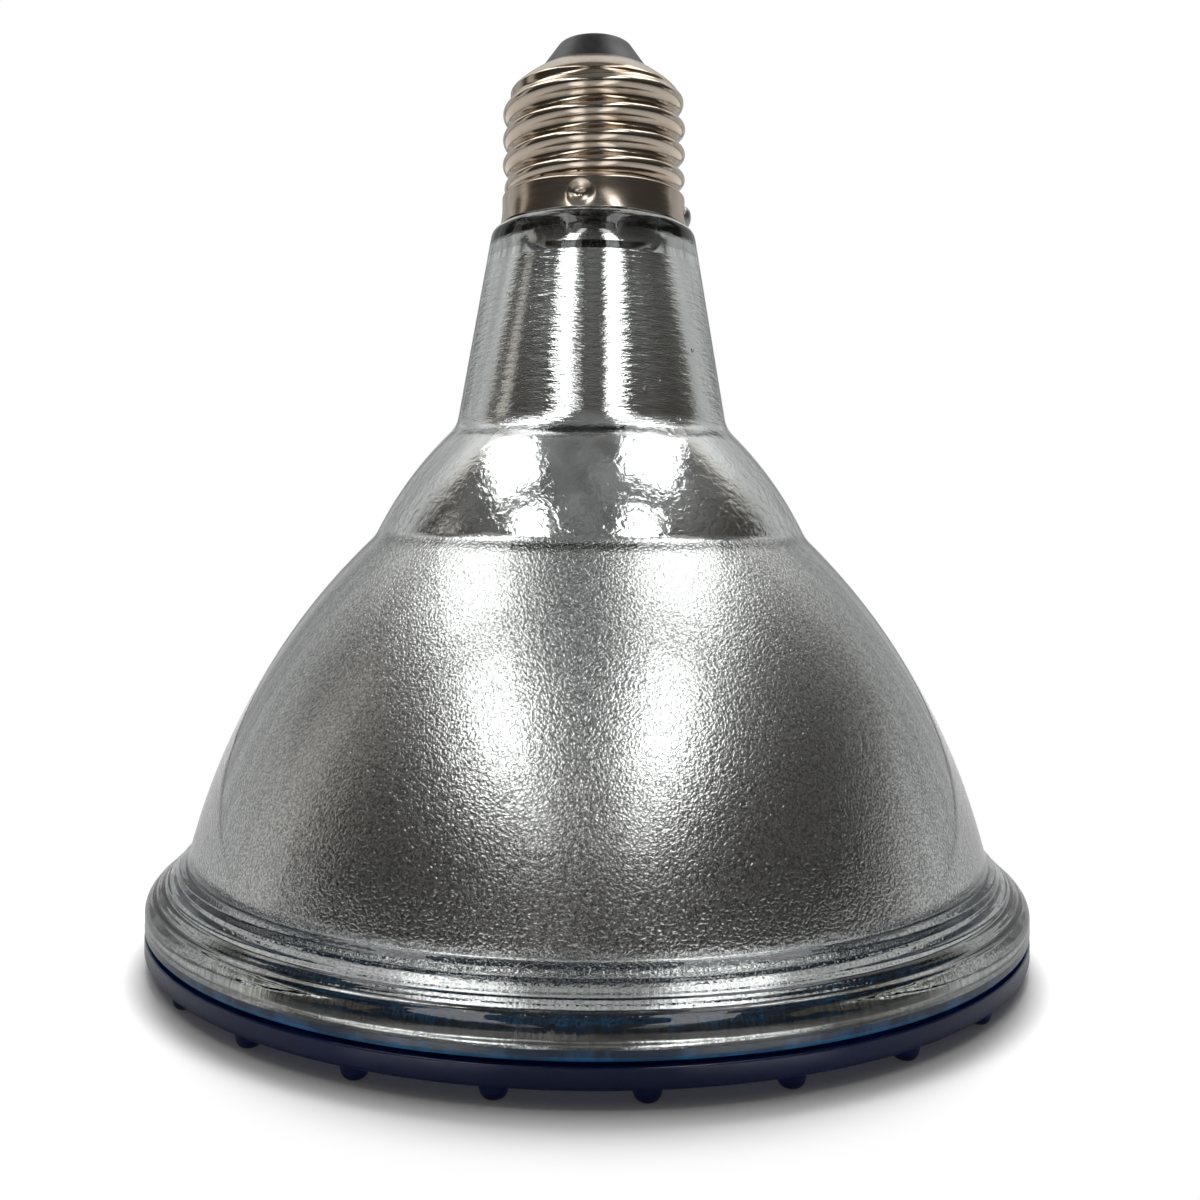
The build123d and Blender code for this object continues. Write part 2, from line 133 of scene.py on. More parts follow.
@named
class GlassSettings(PropertyGroup):
    """Sizes of the pressed glass and its mirror, and their colours."""
    wall: length("Thickness of the pressed glass", 2.8)
    band_height: length("Straight edge of the flange above the seal", 3.1)
    shoulder_height: length("Sloping shoulder of the flange", 4.8)
    flange_width: length("Flange's reach beyond the bowl's foot", 5.3)
    bead: length("Width of the bead at the bowl's foot", 1.2)
    bead_rise: length("Height of that bead above the shoulder", 0.3)
    seal_inset: length("From the rim to the seal's land", 1.7)
    seal_land: length("Width of the land that lens and bowl share", 3.8)
    seal_ledge: length("From the land to the bowl's inner face", 0.7)
    bowl_height: length("From the flange to the small dome", 43.3)
    bowl_arc: length("Radius of the bowl's outline", 89.0)
    dome_foot_radius: length("Radius where the small dome starts", 30.65)
    dome_height: length("From the bowl to the neck", 15.5)
    dome_arc: length("Radius of the small dome's outline", 51.0)
    neck_foot_radius: length("Radius where the neck starts", 19.43)
    neck_height: length("From the small dome to the screw shell", 28.7)
    neck_ledge: length("Neck's reach beyond the screw shell", 1.35)
    junction_lean: angle("Slope of the wall's thickness at the two junctions", 30)
    plug_gap: length("Room between plug and skirt", 0.6)
    plug_lip_inset: length("Step from the plug to its lip", 1.2)
    plug_land: length("Height of the plug's straight part", 4.1)
    film_top: length("Height of the mirror's edge in the neck", 95.2)
    film_depth: length("How deep in the glass the film is drawn", 0.04)
    film_thickness: length("Thickness the film is drawn with", 0.01)
    film_land: length("How far the film runs out on the seal's land", 4.7)
    film_break: length("From the film's edge to its overspray", 0.3)
    shoulder_ripple: length("Depth of the pressed rings on the flange's shoulder", 0.045)
    shoulder_rings: share("Number of those rings", 4.0)
    band_haze: share("Roughness of the flange's straight edge", 0.13)
    seal_lip: length("How far the seal's edge turns up into the glass", 0.9)
    seal_blue: colour("Colour of the seal between lens and flange", 0.012, 0.17, 0.44)
    segments: count("Faces round the glass", 256, 32)
    tint: colour("Colour left in light that crosses the glass", 0.62, 0.88, 0.86)
    tint_density: share("Strength of the glass tint for each metre", 14.0)
    film_colour: colour("Colour of the aluminium film", 0.94, 0.94, 0.93)
    # Painted shade: the film keeps this share of its brightness in the stipple's hollows
    painted_hollow_shade: share("Brightness left in the hollows of the stipple", 0.7)
    foot_stipple: share("Part of the stipple's height left at the seal", 0.2)
    stipple: length("Height of the bowl's fine stipple", 0.044)
    stipple_pitch: length("From one ridge of the stipple to the next", 0.34)
    stipple_haze: share("Roughness of the mirror on the stipple", 0.17)
    foot_haze: share("Roughness of the mirror under the flange", 0.06)
    neck_haze: share("Roughness of the mirror on the small dome and neck", 0.08)
    ripple: length("Height of the small dome's ripples", 0.05)
    lapping: length("Height of the lapping on flange and junctions", 0.04)
    overspray: share("Cover of the film above its edge in the neck", 0.4)


@named
class LensSettings(PropertyGroup):
    """Sizes and colour of the blue lens."""
    nub_count: count("Nubs round the rim", 24)
    nub_inset: length("From the rim to the nubs' circle", 2.2)
    nub_radius: length("Radius of a nub at its foot", 1.6)
    nub_height: length("How far the nubs stand out", 1.8)
    nub_phase: angle("Angle from the front to the first nub", 6)
    edge_height: length("Height of the lens's outer edge", 2.4)
    edge_round: length("Rounding of the lens's lower edge", 0.5)
    face_inset: length("From the rim to the crowned face", 5.0)
    crown: length("How far the face bulges", 1.2)
    thickness: length("Glass thickness on the axis", 4.0)
    tint: colour("Colour left in light that crosses the lens", 0.10, 0.20, 0.80)
    tint_density: share("Strength of the lens tint for each metre", 320.0)
    body: colour("Colour that the lens gives back", 0.025, 0.065, 0.30)


@named
class BaseSettings(PropertyGroup):
    """Sizes and colours of the screw base."""
    wall: length("Thickness of the screw shell", 0.35)
    skirt_height: length("Plain skirt under the thread", 4.4)
    skirt_step: length("Height of the step from skirt to thread", 0.9)
    thread_depth: length("From crest to root", 1.05)
    thread_pitch: length("Rise of the thread in one turn", 3.629)
    thread_length: length("From the step to the shoulder", 14.0)
    thread_runout: length("Plain part between thread and shoulder", 0.38)
    fade_turns: share("Part of a turn in which each end sinks in", 0.4)
    shoulder_width: length("How far the shoulder draws in", 4.15)
    flare: length("How far the skirt's rim flares out", 0.26)
    flare_height: length("Height of the flare at the skirt's rim", 3.0)
    crimp_count: count("Crimps round the skirt", 3)
    crimp_angle: angle("Direction of the first crimp", -98)
    crimp_height: length("From the skirt's rim to the crimps", 1.85)
    crimp_radius: length("Radius of a crimp's dimple", 1.9)
    crimp_depth: length("Depth of a crimp", 0.8)
    seat_gap: length("Room round the insulator's neck and round the contact", 0.05)
    bore: length("Radius of the insulator's hole for the lead", 0.27)
    nickel: colour("Colour of the plated shell", 0.69, 0.60, 0.50)
    # Darker, browner colour for patches in the thread's valleys
    tarnish: colour("Colour of the shell in the thread's valleys", 0.50, 0.38, 0.26)
    insulator_black: colour("Colour of the insulator", 0.020, 0.020, 0.021)
    solder: colour("Colour of the solder", 0.52, 0.51, 0.49)
    brass: colour("Colour of the contact", 0.72, 0.55, 0.27)


@named
class MountSettings(PropertyGroup):
    """Sizes and colours of the filament mount inside."""
    wire: length("Radius of the filament's wire", 0.07)
    coil_pitch: length("Way along the filament in one turn of its coil", 0.3)
    lead_splay: length("From the axis to the leads' ends", 7.0)
    filament_span: length("Between the filament's two bends", 7.0)
    filament_ease: length("Length over which its bends are eased", 1.4)
    tungsten: colour("Colour of the filament", 0.30, 0.30, 0.31)
    lead: colour("Colour of the lead wires", 0.62, 0.60, 0.57)


@named
class StudioSettings(PropertyGroup):
    """Camera, floor and lamps."""
    distance: length("From the camera to the lamp's axis", 183.0)
    height: length("Height of the camera above the floor", 54.9)
    focal: share("Focal length in millimetres on a 36 mm sensor", 37.914)
    shift_x: share("Picture's shift to the right, in picture widths", 0.0079)
    shift_y: share("Picture's shift upwards, in picture widths", -0.0458)
    roll: angle("Camera's roll", 0.5)
    lamp_height: length("Height of the lamps above the floor", 660.0)
    front_level: share("Brightness of the two lamps at the front", 3.2)
    low_level: share("Brightness of the two lamps further to the front", 1.15)
    side_level: share("Brightness of the two lamps at the sides", 2.3)
    top_level: share("Brightness of the floor's lamp, behind", 19.0)
    wall_tone: share("Brightness of the tent's side and back walls", 0.44)
    horizon_tone: share("Brightness of the tent's open front, low down", 0.02)
    front_tone: share("Brightness of the tent's open front", 0.042)
    card_tone: share("Brightness of the grey card in the front", 0.09)
    # Painted light: the floor itself glows this much all over, which lifts its shadow
    painted_floor_glow: share("Light that the floor gives back all over", 0.026)
    strip_tone: share("Brightness of the pale strip at the left", 0.50)
    front_colour: colour("Colour of the tent's open front", 1.0, 0.94, 0.86)
    back_tone: share("Brightness of the tent's back wall, high up", 0.75)
    roof_tone: share("Brightness of the tent's roof between the lamps", 0.15)
    floor: colour("Colour of the floor", 0.90, 0.90, 0.90)
    floor_mirrored: colour("Colour of the floor as the mirror shows it", 0.26, 0.26, 0.26)
    pool: colour("Colour of the floor's two pools of light", *WHITE)


# Surfaces

def unit(vectors):
    """Vectors brought to a length of one."""
    return vectors / np.linalg.norm(vectors, axis=1, keepdims=True)


def arc(start, end, radius, points=120):
    """Points of the shorter circle arc between two points. The centre lies off the chord's middle by the
    height of the triangle that two radii make with the chord, to the left of the way from start to end."""
    start, end = np.asarray(start, float), np.asarray(end, float)
    chord = end - start
    span = np.hypot(*chord)
    left = np.array([-chord[1], chord[0]]) / span
    centre = (start + end) / 2 + left * np.sqrt(radius ** 2 - span ** 2 / 4)
    first = np.arctan2(start[1] - centre[1], start[0] - centre[0])
    angles = first + 2 * np.arcsin(span / (2 * radius)) * np.linspace(0, 1, points)
    return centre + radius * np.column_stack([np.cos(angles), np.sin(angles)])


def line(*points):
    """Straight runs through some points."""
    return np.asarray(points, float)


def rippled(start, end, rings, depth, points=120):
    """Straight run set off sideways by two cosines of the way along it, the second 1.7 times as quick and
    0.6 as deep, which fade out at its ends with the root of a sine."""
    t = np.linspace(0, 1, points)[:, None]
    along = np.subtract(end, start)
    aside = np.array([along[1], -along[0]]) / np.hypot(*along)
    wave = np.cos(2 * pi * rings * t) + 0.6 * np.cos(3.4 * pi * rings * t + 1.0)
    return start + along * t + depth * aside * wave * np.sqrt(np.sin(pi * t))


def stretch(points, lead_in, lead_out, step):
    """Evenly spaced points on a polyline, from one running length to another short of its end."""
    spans = np.linalg.norm(np.diff(points, axis=0), axis=1)
    running = np.concatenate([[0.0], np.cumsum(spans)])
    stop = running[-1] - lead_out
    at = np.linspace(lead_in, stop, max(2, int(np.ceil((stop - lead_in) / step)) + 1))
    return np.column_stack([np.interp(at, running, points[:, k]) for k in range(points.shape[1])])


def outline(runs, rounds, step, ease=8):
    """Runs of (radius, height) points joined end to end. At join i both runs stop short by rounds[i], and a
    quadratic curve drawn towards the corner carries one into the next. The last of the rounds is the closing
    corner's. The step is one for all runs or one for each. Rounds and steps are in millimetres."""
    rounds = np.multiply(rounds, MM)
    steps = np.broadcast_to(np.multiply(step, MM), len(runs))
    parts = [stretch(run, rounds[i - 1], rounds[i], steps[i]) for i, run in enumerate(runs)]
    t = np.linspace(0, 1, ease)[1:-1, None]
    joined = []
    for i, run in enumerate(runs):
        after = parts[(i + 1) % len(parts)][0]
        joined.append(parts[i] if rounds[i] else parts[i][:-1])
        if rounds[i]:
            joined.append((1 - t) ** 2 * parts[i][-1] + 2 * t * (1 - t) * run[-1] + t ** 2 * after)
    return np.concatenate(joined)


def grid_faces(rows, columns, close_rows):
    """Quads of a grid whose columns wrap round, and whose rows wrap too where close_rows is true."""
    i = np.arange(rows if close_rows else rows - 1)[:, None]
    j = np.arange(columns)[None, :]
    here, beside = i * columns + j, i * columns + (j + 1) % columns
    above, across = (i + 1) % rows * columns + j, (i + 1) % rows * columns + (j + 1) % columns
    return np.stack([here, beside, across, above], -1).reshape(-1, 4)


def capped(rings, poles):
    """Closed skin over rows of rings: quads from row to row, and a fan of triangles to the pole at either
    end."""
    rows, columns = rings.shape[:2]
    here = np.arange(columns)
    beside = (here + 1) % columns
    first, last_row = rows * columns, (rows - 1) * columns
    start_fan = np.stack([np.full(columns, first), beside, here], -1)
    end_fan = np.stack([np.full(columns, first + 1), last_row + here, last_row + beside], -1)
    faces = [grid_faces(rows, columns, False), start_fan, end_fan]
    return np.concatenate([rings.reshape(-1, 3), poles]), faces


def turn_angles(segments):
    """Angles of a full turn, evenly spaced."""
    return np.arange(segments) * 2 * pi / segments


def round_grid(radius, height, angles):
    """Rows of points about the axis: each row's radius and height, carried round the given angles."""
    x = radius * np.cos(angles)
    return np.stack([x, radius * np.sin(angles), np.broadcast_to(height, x.shape)], -1)


def on_axis(low, high):
    """Two points on the axis, at two heights."""
    return np.array([[0.0, 0.0, low], [0.0, 0.0, high]])


def turned(profile, segments):
    """Surface of revolution of a closed (radius, height) profile that runs with its material on the left."""
    rings = round_grid(profile[:, :1], profile[:, 1:], turn_angles(segments))
    return rings.reshape(-1, 3), [grid_faces(len(profile), segments, True)]


def turned_solid(profile, segments):
    """Surface of revolution of a profile that starts and ends on the axis, where it has one point and a
    fan."""
    rings = round_grid(profile[1:-1, :1], profile[1:-1, 1:], turn_angles(segments))
    return capped(rings, on_axis(profile[0, 1], profile[-1, 1]))


def merged(*surfaces):
    """Several surfaces as one list of points and face arrays, each one's faces counted on from the points
    before."""
    points, faces, offset = [], [], 0
    for part_points, part_faces in surfaces:
        points.append(part_points)
        faces.extend(block + offset for block in part_faces)
        offset += len(part_points)
    return np.concatenate(points), faces


def tube(path, helper, radius, sides):
    """Round tube along a path, capped by a fan at both ends. Each ring is a circle in the plane of two unit
    vectors: the cross product of the path's direction with a helper direction, and that of the path's
    direction with it."""
    along = unit(np.gradient(path, axis=0))
    across = unit(np.cross(along, helper))
    third = np.cross(along, across)
    angles = turn_angles(sides)[None, :, None]
    circles = np.cos(angles) * across[:, None, :] + np.sin(angles) * third[:, None, :]
    return capped(path[:, None, :] + radius * circles, path[[0, -1]])


def smooth_step(value, low, high):
    """Cubic rise from 0 at low to 1 at high."""
    t = np.clip((value - low) / (high - low), 0, 1)
    return t * t * (3 - 2 * t)


def piece(name, surface, material, node=None, crease=40):
    """Puts a surface into a mesh object at the origin that rides on the lamp and stands for a CAD node, if
    any."""
    points, faces = surface
    mesh = bpy.data.meshes.new(name)
    mesh.from_pydata(points.tolist(), [], [face for block in faces for face in block.tolist()])
    mesh.shade_smooth()
    mesh.set_sharp_from_angle(angle=radians(crease))
    mesh.materials.append(material)
    made = bpy.data.objects.new(name, mesh)
    bpy.context.scene.collection.objects.link(made)
    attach(made, "root")
    if node:
        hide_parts(node)


def finish_node(node, material):
    """Gives a CAD node that stays in view its material."""
    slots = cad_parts[node].data.materials
    slots.clear()
    slots.append(material)


# Outlines and surfaces of the pieces

def glass_levels(s):
    """Heights up the glass, each from the one below it."""
    band_top = SEAL_Z + s.band_height
    bowl_foot = band_top + s.shoulder_height
    dome_foot = bowl_foot + s.bowl_height
    neck_foot = dome_foot + s.dome_height
    return band_top, bowl_foot, dome_foot, neck_foot, neck_foot + s.neck_height


def plug_radius(s, base):
    """Radius of the plug inside the skirt."""
    return CREST_RADIUS - base.wall - s.plug_gap


def inner_runs(s, base):
    """Inner face of the glass from the seal up to the plug's bore: bowl arc, small dome arc and the neck's
    cone."""
    _, _, dome_foot, neck_foot, _ = glass_levels(s)
    inset = -s.wall * np.array([np.cos(s.junction_lean), np.sin(s.junction_lean)])
    foot = np.array([RIM_RADIUS - s.seal_inset - s.seal_land - s.seal_ledge, SEAL_Z])
    dome = np.array([s.dome_foot_radius, dome_foot]) + inset
    neck = np.array([s.neck_foot_radius, neck_foot]) + inset
    bore = np.array([plug_radius(s, base) - s.plug_lip_inset - s.wall / 2, SHELL_BOTTOM])
    return [arc(foot, dome, s.bowl_arc - s.wall), arc(dome, neck, s.dome_arc - s.wall), line(neck, bore)]


def glass_outline(s, base):
    """Closed outline of the pressed glass: the outside from the seal up to the plug, then down the inside.
    Each run stands with the rounding at its end and its step."""
    band_top, bowl_foot, dome_foot, neck_foot, neck_top = glass_levels(s)
    plug = plug_radius(s, base)
    lip = plug - s.plug_lip_inset
    plug_land = neck_top + s.plug_land
    inner = [run[::-1] for run in inner_runs(s, base)[::-1]]
    foot, bore = inner[-1][-1], inner[0][0]
    bowl = np.array([RIM_RADIUS - s.flange_width, bowl_foot])
    slope = np.array([s.flange_width, -s.shoulder_height]) / np.hypot(s.flange_width, s.shoulder_height)
    rise = s.bead_rise * np.array([-slope[1], slope[0]])
    bead = bowl + s.bead * slope + rise
    bead_foot = bead + 0.6 * s.bead * slope - rise
    dome = (s.dome_foot_radius, dome_foot)
    neck = (s.neck_foot_radius, neck_foot)
    top = (CREST_RADIUS + s.neck_ledge, neck_top)
    runs = [
        (line(foot, (RIM_RADIUS, SEAL_Z)), 0.3, 0.6),
        (line((RIM_RADIUS, SEAL_Z), (RIM_RADIUS, band_top)), 1.0, 0.4),
        (rippled((RIM_RADIUS, band_top), bead_foot, s.shoulder_rings, s.shoulder_ripple), 0.15, 0.12),
        (line(bead_foot, bead), 0.25, 0.2),
        (line(bead, bowl), 0.3, 0.2),
        (arc(bowl, dome, s.bowl_arc), 0.8, 1.0),
        (arc(dome, neck, s.dome_arc), 1.5, 1.0),
        (line(neck, top), 1.6, 1.0),
        (line(top, (plug, neck_top)), 0.3, 0.4),
        (line((plug, neck_top), (plug, plug_land), (lip, plug_land + base.skirt_step), (lip, PLUG_TOP),
              (bore[0], PLUG_TOP), bore), 0.5, 0.6),
        *zip(inner, (2.2, 1.2, 0.3), (1.5, 1.2, 1.2)),
    ]
    return outline(*zip(*runs), ease=6)


def film_outline(s, base, low, high):
    """Thin closed outline of the mirror between two heights: the seal's land and the inner face of the glass
    moved into the wall, and back a film's thickness further in."""
    runs = inner_runs(s, base)
    foot = runs[0][0]
    path = outline([line(foot + [s.film_land, 0], foot), *runs], (0.4, 1.2, 2.2, 0.0), 0.6)
    path = path[(path[:, 1] >= low) & (path[:, 1] < high)]
    ahead = unit(np.gradient(path, axis=0))
    outward = np.column_stack([ahead[:, 1], -ahead[:, 0]])
    outer = path + s.film_depth * outward
    inner = path + (s.film_depth - s.film_thickness) * outward
    return np.concatenate([outer, inner[::-1]])


def lens_outline(s, glass):
    """Outline of the lens from the axis along its crowned face, round its edge, over the land and back to
    the axis."""
    face = RIM_RADIUS - s.face_inset
    edge_top = s.nub_height + s.edge_height
    land = RIM_RADIUS - glass.seal_inset
    contact = SEAL_Z + 0.02 * MM
    apex = s.nub_height - s.crown
    middle = (0, apex + s.thickness)
    bulge = (face ** 2 + s.crown ** 2) / (2 * s.crown)
    runs = [
        arc((0, apex), (face, s.nub_height), bulge),
        line((face, s.nub_height), (RIM_RADIUS, s.nub_height)),
        line((RIM_RADIUS, s.nub_height), (RIM_RADIUS, edge_top)),
        line((RIM_RADIUS, edge_top), (land, edge_top), (land, contact)),
        line((land, contact), (land - glass.seal_land, contact), middle),
    ]
    rounding = s.edge_round / MM
    return np.concatenate([outline(runs, (1.0, rounding, rounding / 2, 0.1, 0.0), 1.0), [middle]])


def seal_outline(s):
    """Thin closed ring of the seal: over the lens's land and under the flange, nearly out to the rim, where
    its edge turns up into the glass."""
    inner = RIM_RADIUS - s.seal_inset - s.seal_land - s.seal_ledge + s.film_land - 0.05 * MM
    outer = RIM_RADIUS - 0.35 * MM
    low, high = SEAL_Z - 0.28 * MM, SEAL_Z + 0.025 * MM
    foot, lip = (outer - s.seal_lip, high), (outer, high + s.seal_lip)
    runs = [
        line((inner, low), (outer, low)),
        line((outer, low), lip),
        line(lip, foot),
        line(foot, (inner, high), (inner, low)),
    ]
    return outline(runs, (0.1, 0.1, 0.3, 0.0), 0.3, ease=6)


def nubs(s):
    """Nubs set round the rim, each a dome upside down: its height falls off from the tip as the square root
    of one less the fourth power of the way out to the foot's radius. Its top is sunk a little into the
    lens."""
    out = np.sin(np.linspace(0, pi / 2, NUB_ROWS))
    fall = np.sqrt(np.clip(1 - out ** 4, 0, 1))
    low = np.column_stack([out * s.nub_radius, s.nub_height * (1 - fall)])
    sunk = s.nub_height + 0.05 * MM
    points, faces = turned_solid(np.concatenate([low, [[s.nub_radius, sunk], [0.0, sunk]]]), NUB_FACES)
    angles = s.nub_phase - pi / 2 + turn_angles(s.nub_count)
    places = round_grid(RIM_RADIUS - s.nub_inset, 0.0, angles)
    return [(points + place, faces) for place in places]


def shell_radius(s, angles, z):
    """Radius of the shell's outside at each angle and height: a plain body of skirt, step, root and
    shoulder, and a ridge along a helix, made of two equal arcs that meet halfway up its flank, which sinks
    in at both ends. The two are joined by a soft maximum. The rim flares out by an uneven amount. Each crimp
    takes away a wide dish and a small punch mark with a raised ring round it."""
    root = CREST_RADIUS - s.thread_depth
    skirt_top = SHELL_BOTTOM + s.skirt_height
    thread_bottom = skirt_top + s.skirt_step
    thread_top = thread_bottom + s.thread_length
    step = smooth_step(z, skirt_top - 0.3 * s.skirt_step, thread_bottom)
    draw_in = np.clip((z - thread_top) / (SHELL_TOP - thread_top), 0, 1)
    plain = root - s.shoulder_width * draw_in ** 1.25
    body = plain + s.thread_depth * (1 - step)
    turns = (thread_top - s.thread_runout - skirt_top) / s.thread_pitch
    lead = (angles - pi / 2) % (2 * pi) / (2 * pi)
    level = (z - skirt_top) / s.thread_pitch - lead
    turn = np.round(level) + lead
    from_end = np.clip(np.minimum(turn, turns - turn) / s.fade_turns, 0, 1)
    lean = 2 * np.arctan(2 * s.thread_depth / s.thread_pitch)
    bend = s.thread_pitch / (4 * np.sin(lean))
    off = np.abs(level - np.round(level)) * s.thread_pitch
    on_crest = off < s.thread_pitch / 4
    from_middle = np.where(on_crest, off, s.thread_pitch / 2 - off)
    rise = np.sqrt(bend ** 2 - from_middle ** 2) - bend * np.cos(lean)
    wave = 0.5 + np.where(on_crest, rise, -rise) / s.thread_depth
    ridge = plain + s.thread_depth * wave * smooth_step(from_end, 0, 1)
    soft = 0.06 * MM
    surplus = soft * np.log(2) * np.exp(-np.abs(body - ridge) / soft)
    radius = soft * np.logaddexp(body / soft, ridge / soft) - surplus
    swell = 1 + 0.4 * np.cos(5 * angles + 0.6) + 0.3 * np.cos(11 * angles + 2.0)
    above_rim = np.clip((z - SHELL_BOTTOM) / s.flare_height, 0, 1)
    radius = radius + s.flare * swell * (1 - above_rim) ** 2
    for k in range(s.crimp_count):
        off = (angles - s.crimp_angle - 2 * pi * k / s.crimp_count + pi) % (2 * pi) - pi
        reach = np.hypot(off * CREST_RADIUS, z - SHELL_BOTTOM - s.crimp_height) / s.crimp_radius
        dish = 0.75 * (1 - smooth_step(reach, 0.1, 1.15))
        punch = 0.30 * (1 - smooth_step(reach, 0.18, 0.30))
        ring = 0.08 * np.exp(-((reach - 0.42) / 0.08) ** 2)
        radius = radius - s.crimp_depth * (dish + punch - ring)
    return radius


def shell_surface(s):
    """Screw shell: the outside's radius on a grid of angles and heights, and the same form a wall's
    thickness further in, joined over the lip at the top and round the rim at the bottom."""
    angles = turn_angles(SHELL_FACES)
    rise = np.linspace(SHELL_BOTTOM, SHELL_TOP, SHELL_ROWS)[:, None]
    fall = np.linspace(SHELL_TOP - s.wall, SHELL_BOTTOM, SHELL_INSIDE_ROWS)[:, None]
    radii = np.concatenate([shell_radius(s, angles, rise), shell_radius(s, angles, fall) - s.wall])
    rings = round_grid(radii, np.concatenate([rise, fall]), angles)
    return rings.reshape(-1, 3), [grid_faces(len(radii), SHELL_FACES, True)]


def insulator_outline(s):
    """Closed outline of the insulator: floor, flange under the shoulder, cone above the lip, seat for the
    contact."""
    flange, floor, top = INSULATOR_HIGH[0], INSULATOR_LOW[2], INSULATOR_HIGH[2]
    lip = CREST_RADIUS - s.thread_depth - s.shoulder_width - s.seat_gap
    contact, seat = CONTACT_HIGH[0] + s.seat_gap, CONTACT_LOW[2]
    cone_top = contact + 1.0 * MM
    runs = [
        line((s.bore, floor), (flange, floor), (flange, floor + 0.7 * MM), (lip, SHELL_TOP - 0.55 * MM),
             (lip, SHELL_TOP)),
        line((lip, SHELL_TOP), (cone_top, top)),
        line((cone_top, top), (contact, top)),
        line((contact, top), (contact, seat), (s.bore, seat)),
        line((s.bore, seat), (s.bore, floor)),
    ]
    return outline(runs, (0.2, 0.75, 0.15, 0.0, 0.0), 0.25)


def contact_surface():
    """Contact disc: the surface of revolution of a rectangle with its corners eased."""
    radius, low, high = CONTACT_HIGH[0], CONTACT_LOW[2], CONTACT_HIGH[2]
    corners = (0, low), (radius, low), (radius, high), (0, high)
    runs = [line(*ends) for ends in zip(corners, corners[1:])]
    return turned_solid(np.concatenate([outline(runs, (0.1, 0.15, 0.0), 0.2), [[0.0, high]]]), CONTACT_FACES)


def contact_dot():
    """Solder dome on the contact: flat underneath, its height falling with the square of the way out to a
    thin edge whose radius has two waves round it."""
    out = np.linspace(0, 1, DOT_ROWS)[1:, None]
    angles = turn_angles(DOT_FACES)
    reach = DOT_HIGH[0] * (1 - 0.05 - 0.04 * np.cos(3 * angles + 0.7) - 0.01 * np.cos(7 * angles))
    low, high = DOT_LOW[2], DOT_HIGH[2]
    dome = low + (high - low) * (1 - 0.94 * out ** 2)
    rings = round_grid(np.concatenate([out, out[::-1]]) * reach,
                       np.concatenate([np.full_like(dome, low), dome[::-1]]), angles)
    return capped(rings, on_axis(low, high))


def side_blob():
    """Solder blob on the skirt's rim: a flattened ball, uneven by a few waves over its angles, sunk in the
    skirt."""
    around = turn_angles(BLOB_FACES)
    up = np.linspace(0, pi, BLOB_ROWS)[1:-1, None]
    size = 0.95
    uneven = size + 0.03 * np.cos(3 * around + 1.0) * np.sin(up) - 0.02 * np.cos(5 * around) * np.sin(2 * up)
    half = np.subtract(BLOB_HIGH, BLOB_LOW) / 2
    middle = np.array([BLOB_LOW[0], 0.0, BLOB_LOW[2] + half[2]])
    ball = round_grid(uneven * np.sin(up), -uneven * np.cos(up), around) * (2 * half[0], half[1], half[2])
    return capped(ball + middle, on_axis(-size * half[2], size * half[2]) + middle)


def filament_coil(s):
    """Filament wound about a line from lead to lead that bows forward over the two anchors. The line is
    straight runs whose bends are eased by a running mean. The wire keeps the coil's radius from it, on a
    level vector square to the line and on the upright, at an angle that grows with the way along the
    line."""
    radius = (FILAMENT_HIGH[2] - FILAMENT_LOW[2]) / 2
    middle, front = FILAMENT_LOW[2] + radius, FILAMENT_LOW[1] + radius
    half, end = s.filament_span / 2, s.lead_splay
    fine = 0.02 * MM
    path = stretch(line((-end, 0), (-half, front), (half, front), (end, 0)), 0.0, 0.0, fine)
    reach = int(s.filament_ease / fine / 2)
    before, after = 2 * path[0] - path[reach:0:-1], 2 * path[-1] - path[-2:-reach - 2:-1]
    sums = np.cumsum(np.concatenate([np.zeros((1, 2)), before, path, after]), axis=0)
    path = (sums[2 * reach + 1:] - sums[:-2 * reach - 1]) / (2 * reach + 1)
    along = unit(np.gradient(path, axis=0))
    winding = 2 * pi * fine / s.coil_pitch * np.arange(len(path))[:, None]
    level = np.column_stack([-along[:, 1], along[:, 0], np.zeros(len(path))])
    wire = np.column_stack([path, np.full(len(path), middle)])
    wire += (radius - s.wire) * (np.cos(winding) * level + np.sin(winding) * np.array([0.0, 0.0, 1.0]))
    return tube(wire, np.column_stack([along, np.zeros(len(path))]), s.wire, WIRE_FACES)


# Materials

def toned(tone, factor):
    """A colour made darker or lighter by a factor."""
    return tuple(factor * value for value in tone)


